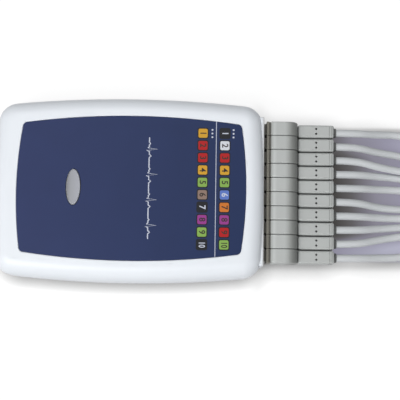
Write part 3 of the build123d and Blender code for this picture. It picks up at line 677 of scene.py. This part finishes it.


# Lead plugs: ten grey plugs side by side, each a core with its ribbed nose, over which a block
# and a longer, lower strain relief are moulded, and a turned pin pressed in from the front.
# Light and shade are painted into their grey along X: a dark warm shade on the nose at the
# collar, a highlight on the block's front edge, shade down its back slope, a highlight where the
# strain relief begins and shade at its end.
plug_plastic = finish_material(
    "plug_plastic", (0.548, 0.567, 0.555), roughness=0.46, grain=0.4, depth=0.02, shade=0.05
)
lead_count = 10
plug_from_x = 66.0
plug_span_x = 44.0
# Painted light and shade along X, multiplied into the plugs' grey.
plug_painted_light = (
    (73.2, (0.28, 0.255, 0.215)),
    (73.35, (0.62, 0.62, 0.61)),
    (75.0, (1.0, 1.0, 1.0)),
    (76.6, (0.85, 0.85, 0.85)),
    (80.6, (0.85, 0.85, 0.85)),
    (84.6, (0.42, 0.42, 0.41)),
    (87.5, (0.33, 0.33, 0.32)),
    (87.8, (1.0, 1.0, 1.0)),
    (90.5, (0.85, 0.85, 0.85)),
    (106.6, (0.86, 0.86, 0.86)),
    (106.95, (0.2, 0.2, 0.2)),
)
shade_along(plug_plastic, plug_painted_light, plug_from_x, plug_span_x)
pin_metal = finish_material(
    "pin_metal", (0.60, 0.59, 0.57), roughness=0.26, grain=0.4, depth=0.003, shade=0.04, metal=1.0
)
for number in range(1, lead_count + 1):
    lead = f"lead_{number:02d}"
    rounded_copy(
        f"lead_plug_{number:02d}", f"plug_{number:02d}", plug_plastic,
        edge=0.06, body=lead,
    )
    rounded_copy(
        f"lead_pin_{number:02d}", f"pin_{number:02d}", pin_metal,
        edge=0.0, body=lead,
    )


# Wires: ten screened wires with a soft grey jacket, extruded, one moulded into each lead plug.
# Each runs from its plug into a tied bundle of two turns and out to its electrode plug.
wire_diameter = 4.0
lead_pitch = 7.4
lead_y = [
    (lead_count - 1) / 2 * lead_pitch - lead_pitch * number for number in range(lead_count)
]
wire_leaves_plug = (108.35, 9.75)
# From the plugs to the coil: a straight run, then points along X, with each wire's place along Y
# at all but the last, and the heights of the upper wires, the lower ones and the highest one.
front_run = 11.0
front_x = (130.8, 142.3, 157.0, 172.5, 190.0, 208.0)
front_y = (
    (33.7, 34.2, 30.4, 15.5, -5.5),
    (24.1, 22.9, 19.4, 6.5, -9.5),
    (15.7, 14.2, 10.6, -1.0, -14.0),
    (11.1, 10.6, 8.0, -3.5, -15.5),
    (4.0, 4.1, 2.2, -9.0, -20.5),
    (-5.7, -6.4, -6.4, -11.5, -21.5),
    (-11.2, -11.3, -10.9, -17.0, -26.5),
    (-17.1, -16.2, -14.6, -19.4, -27.5),
    (-23.1, -21.1, -18.9, -24.0, -32.0),
    (-32.5, -32.2, -29.2, -27.0, -33.0),
)
front_z_upper = (4.6, 2.4, 5.0, 6.5, 6.54)
front_z_lower = (4.4, 2.2, 2.1, 2.12, 2.08)
front_z_high = (7.4, 5.2, 5.9, 6.6, 6.54)
high_wire = 2
# The coil: the middles of its two rounded ends, where the wires enter it, the control points of
# a turn's ends, and the radius of each pair of wires.
coil_middles = ((204.0, 8.0), (248.0, 8.0))
coil_in_x = 224.0
coil_turns = 2
corners_a_turn = 12
column_radius = (24.0, 28.5, 33.0, 37.5, 42.0)
# How high the lower and upper wires of the first turn lie, and the lower ones of the second.
layer_z = (2.05, 6.55, 11.05)
# From the coil to the electrode plugs: where the wires leave it, their points down to the table,
# a last straight run, and where each grip begins.
leave_x = 259.0
end_run = 11.0
end_routes = (
    ((274.0, -10.0, 24.9), (289.0, 4.0, 24.6), (302.0, 18.0, 17.8), (314.0, 25.0, 8.8)),
    ((274.0, -11.5, 20.5), (292.0, 2.5, 20.5), (303.0, 12.5, 14.0), (314.0, 17.8, 7.4)),
    ((274.0, -16.0, 24.9), (289.0, -5.5, 24.6), (302.0, 4.5, 17.8), (314.0, 10.0, 8.8)),
    ((274.0, -17.0, 20.5), (290.0, -8.0, 20.2), (302.5, -0.5, 13.6), (314.0, 2.8, 7.2)),
    ((274.0, -22.0, 24.9), (289.0, -15.0, 24.4), (302.0, -8.5, 17.4), (314.0, -5.0, 8.6)),
    ((273.0, -22.8, 20.5), (287.0, -18.5, 19.6), (300.5, -14.2, 12.6), (313.0, -12.2, 6.9)),
    ((274.0, -28.0, 24.8), (289.0, -24.5, 23.6), (302.0, -21.2, 16.6), (314.0, -19.8, 8.4)),
    ((272.0, -29.2, 20.1), (285.0, -28.5, 16.9), (298.5, -27.6, 11.0), (311.0, -27.3, 6.2)),
    ((274.0, -34.2, 24.4), (288.5, -34.6, 20.6), (302.0, -34.8, 13.8), (314.0, -34.9, 7.6)),
    ((271.0, -36.0, 19.2), (283.0, -39.8, 15.6), (296.0, -42.0, 9.8), (308.0, -42.6, 5.8)),
)
end_x = (337.0, 337.5, 336.5, 337.0, 337.5, 336.0, 337.0, 334.0, 336.5, 331.0)
end_y = (26.0, 18.4, 10.8, 3.2, -4.4, -12.0, -19.6, -27.2, -34.8, -42.4)
grip_axis_z = 3.4


def oblong_turn(radius, height, climb):
    """Control points of one turn: two half circles and two runs, of which the far one rises."""
    step = 2 * math.pi / corners_a_turn
    corner_radius = radius / math.cos(step / 2)
    edge = radius * math.tan(step / 2)
    left, right = coil_middles
    places = [(right[0] - edge, right[1] - radius)]
    for corner in range(corners_a_turn):
        angle = -math.pi / 2 + step * (corner + 0.5)
        middle = right if corner < corners_a_turn / 2 else left
        across = corner_radius * math.cos(angle)
        places.append((middle[0] + across, middle[1] + corner_radius * math.sin(angle)))
        if corner == corners_a_turn / 2 - 1:
            places.append((right[0] - edge, right[1] + radius))
            places.append((left[0] + edge, left[1] + radius))
    places.append((left[0] + edge, left[1] - radius))
    width = right[0] - left[0] + 2 * radius
    points = []
    for count, (x, y) in enumerate(places):
        # The far run climbs to the next layer, and the near side after it stays up.
        risen = min(max((right[0] + radius - x) / width, 0.0), 1.0) if y > right[1] else 0.0
        if y < right[1] and count > corners_a_turn / 2:
            risen = 1.0
        points.append((x, y, height + climb * risen))
    return points


def wire_route(number):
    """Control points of one wire, from its lead plug to its electrode plug, in metres."""
    lower = number % 2
    level = 0 if lower else 1
    heights = front_z_lower if lower else front_z_upper
    if number == high_wire:
        heights = front_z_high
    radius = column_radius[number // 2]
    column = coil_middles[0][1] - radius
    leave_plug_x, plug_z = wire_leaves_plug
    points = [(leave_plug_x, lead_y[number], plug_z)]
    points.append((leave_plug_x + front_run, lead_y[number], plug_z))
    points += list(zip(front_x, front_y[number], heights))
    points.append((front_x[-1], column, layer_z[level]))
    points.append((coil_in_x, column, layer_z[level]))
    climb = layer_z[2] - layer_z[0]
    for turn in range(coil_turns):
        points += oblong_turn(radius, layer_z[level] + turn * climb, climb)
    points.append((coil_in_x, column, layer_z[level] + coil_turns * climb))
    points.append((leave_x, column, layer_z[level] + coil_turns * climb))
    points += list(end_routes[number])
    points.append((end_x[number] - end_run, end_y[number], grip_axis_z))
    points.append((end_x[number], end_y[number], grip_axis_z))
    return [Vector(point) * MM for point in points]


wire_jacket = finish_material(
    "wire_jacket", (0.625, 0.645, 0.66), roughness=0.5, grain=0.5, depth=0.02, shade=0.07, sheen=0.1
)
for number in range(lead_count):
    route = wire_route(number)
    line = mesh_of(route_curve(f"route_{number + 1:02d}", route))
    bpy.data.meshes.remove(line)
    tube = mesh_of(route_curve(f"tube_{number + 1:02d}", route, wire_diameter * MM))
    wire = show(
        f"wire_{number + 1:02d}", tube, wire_jacket, body=None, smooth_below=60.0
    )
    wire.modifiers.clear()
    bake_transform(wire)
    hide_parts(f"lead_wire_{number + 1:02d}")
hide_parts("lead_wire_coil", "lead_wire_ends")


# Electrode plugs: a turned 4 mm pin pressed into a coloured moulded grip at the end of each
# wire, in the colour of its lead, with three grip rings and a narrow neck round the wire.
grip_profile = (
    (0.0, 2.05), (0.0, 2.45), (0.25, 2.6), (4.6, 2.6), (5.0, 2.8), (5.3, 3.15), (5.9, 3.4),
    (7.2, 3.4), (7.5, 3.15), (8.1, 3.15), (8.4, 3.4), (9.4, 3.4), (9.7, 3.15), (10.3, 3.15),
    (10.6, 3.4), (11.6, 3.4), (11.9, 3.15), (12.5, 3.15), (12.8, 3.4), (23.2, 3.4), (23.75, 3.2),
    (24.0, 2.7), (24.0, 2.0),
)
pin_profile = ((14.5, 0.0), (14.5, 2.0), (38.0, 2.0), (38.6, 1.7), (39.0, 1.1), (39.0, 0.0))
grip_colours = {
    "amber": (0.80, 0.42, 0.03),
    "red": (0.55, 0.02, 0.025),
    "green": (0.12, 0.42, 0.06),
    "brown": (0.20, 0.10, 0.06),
    "black": (0.02, 0.02, 0.022),
    "purple": (0.28, 0.05, 0.27),
}


def turned_mesh(name, profile, x, y, z, steps=40):
    """Mesh of a profile of (along, radius) points spun round an axis along X."""
    shape = bmesh.new()
    line = [shape.verts.new((along * MM, radius * MM, 0)) for along, radius in profile]
    for first, second in zip(line, line[1:]):
        shape.edges.new((first, second))
    bmesh.ops.spin(
        shape, geom=shape.verts[:] + shape.edges[:], cent=(0, 0, 0), axis=(1, 0, 0),
        dvec=(0, 0, 0), angle=2 * math.pi, steps=steps, use_merge=True,
    )
    bmesh.ops.remove_doubles(shape, verts=shape.verts, dist=0.001 * MM)
    bmesh.ops.translate(shape, vec=(x * MM, y * MM, z * MM), verts=shape.verts)
    bmesh.ops.recalc_face_normals(shape, faces=shape.faces)
    mesh = bpy.data.meshes.new(name)
    shape.to_mesh(mesh)
    shape.free()
    return mesh


grip_paints = {
    name: finish_material(f"grip_{name}", colour, roughness=0.45, grain=0.4, depth=0.02, shade=0.06)
    for name, colour in grip_colours.items()
}
for number, colour in enumerate(left_column):
    place = (end_x[number], end_y[number], grip_axis_z)
    grip_mesh = turned_mesh(f"grip_{number + 1:02d}", grip_profile, *place)
    grip = show(grip_mesh.name, grip_mesh, grip_paints[colour])
    pin_mesh = turned_mesh(f"electrode_pin_{number + 1:02d}", pin_profile, *place)
    pin = show(pin_mesh.name, pin_mesh, pin_metal)
    if number == 0:
        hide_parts("electrode_grips")
        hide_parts("electrode_pins")


# Coil tie: a soft moulded rubber band, closed round the whole bundle where its turns run side
# by side, to hold the put-away length together.
tie_rubber = finish_material(
    "tie_rubber", (0.03, 0.03, 0.033), roughness=0.6, grain=0.6, depth=0.03, shade=0.12
)
rounded_copy("coil_tie", "bundle_band", tie_rubber, edge=0.35)


# Underside: four rubber feet glued into recesses, a blank satin film plate, and four cross-head
# screws of zinc-plated steel sunk in the lower shell.
foot_rubber = finish_material(
    "foot_rubber", (0.045, 0.045, 0.05), roughness=0.7, grain=0.5, depth=0.03, shade=0.1
)
plate_film = finish_material(
    "plate_film", (0.55, 0.57, 0.60), roughness=0.35, grain=0.4, depth=0.004, shade=0.03
)
screw_steel = finish_material(
    "screw_steel", (0.62, 0.62, 0.64), roughness=0.3, grain=0.3, depth=0.005, shade=0.08, metal=1.0
)
rounded_copy("rubber_feet", "feet", foot_rubber, edge=0.35)
rounded_copy("rating_plate", "blank_plate", plate_film, edge=0.05)
rounded_copy("cover_screws", "housing_screws", screw_steel, edge=0.12)


# Computer inlet: a type B receptacle on the board, a folded tinned shell round a white moulded
# insert with four gold-plated contacts.
tinned_steel = finish_material(
    "tinned_steel", (0.66, 0.67, 0.69),
    roughness=0.26, grain=0.5, depth=0.004, shade=0.06, metal=1.0,
)
usb_plastic = finish_material(
    "usb_plastic", (0.74, 0.75, 0.74), roughness=0.45, grain=0.3, depth=0.01, shade=0.03
)
rounded_copy("usb_shell", "inlet_shell", tinned_steel, edge=0.1)
rounded_copy("usb_insert", "inlet_insert", usb_plastic, edge=0.12)
rounded_copy("usb_contacts", "inlet_contacts", contact_metal, edge=0.04)


# Board: a green solder-masked glass laminate with copper tracks under the mask, on four bosses,
# and its parts: the isolating transformer, the shield over the inputs, chips and small parts.
# The tracks' gaps, lengths and rows are in pitches.
track_pitch = 2.4
track_gap = 0.06
track_length = 3.4
track_row = 0.5
track_colour = (0.04, 0.27, 0.12)
board_green = finish_material(
    "board_laminate", (0.018, 0.16, 0.075), roughness=0.35, grain=0.5, depth=0.01, shade=0.1
)
track_tree = board_green.node_tree
track_surface = track_tree.nodes["Principled BSDF"]
track_source = track_surface.inputs["Base Color"].links[0].from_socket
track_place = track_tree.nodes.new("ShaderNodeTexCoord")
track_lines = track_tree.nodes.new("ShaderNodeTexBrick")
track_lines.inputs["Scale"].default_value = 1 / (track_pitch * MM)
track_lines.inputs["Mortar Size"].default_value = track_gap
track_lines.inputs["Brick Width"].default_value = track_length
track_lines.inputs["Row Height"].default_value = track_row
track_mix = track_tree.nodes.new("ShaderNodeMix")
track_mix.data_type = "RGBA"
track_mix.inputs["B"].default_value = (*track_colour, 1.0)
track_tree.links.new(track_place.outputs["Object"], track_lines.inputs["Vector"])
track_tree.links.new(track_lines.outputs["Fac"], track_mix.inputs["Factor"])
track_tree.links.new(track_source, track_mix.inputs["A"])
track_tree.links.new(track_mix.outputs["Result"], track_surface.inputs["Base Color"])
chip_plastic = finish_material(
    "chip_plastic", (0.02, 0.02, 0.022), roughness=0.55, grain=0.25, depth=0.01, shade=0.1
)
component_ceramic = finish_material(
    "component_ceramic", (0.12, 0.10, 0.09), roughness=0.4, grain=0.3, depth=0.006, shade=0.08
)
capacitor_can = finish_material(
    "capacitor_can", (0.70, 0.71, 0.73),
    roughness=0.28, grain=0.4, depth=0.005, shade=0.05, metal=1.0,
)
transformer_plastic = finish_material(
    "transformer_plastic", (0.05, 0.05, 0.055), roughness=0.5, grain=0.4, depth=0.02, shade=0.1
)
inner_parts = {
    "main_board": (board_green, "board_laminate", 0.1),
    "board_screws": (screw_steel, "screw_steel", 0.1),
    "key_switch": (chip_plastic, "chip_plastic", 0.15),
    "shield_can": (tinned_steel, "tinned_steel", 0.15),
    "circuit_chips": (chip_plastic, "chip_plastic", 0.12),
    "isolation_transformer": (transformer_plastic, "transformer_plastic", 0.2),
    "capacitors": (capacitor_can, "capacitor_can", 0.1),
    "crystal": (tinned_steel, "tinned_steel", 0.3),
    "protection_resistors": (component_ceramic, "component_ceramic", 0.08),
}
for node, (paint, finish_slot, edge) in inner_parts.items():
    rounded_copy(node, f"{node}_shown", paint, edge)
rounded_copy("switch_plunger", "switch_button", chip_plastic, edge=0.15, body="key")
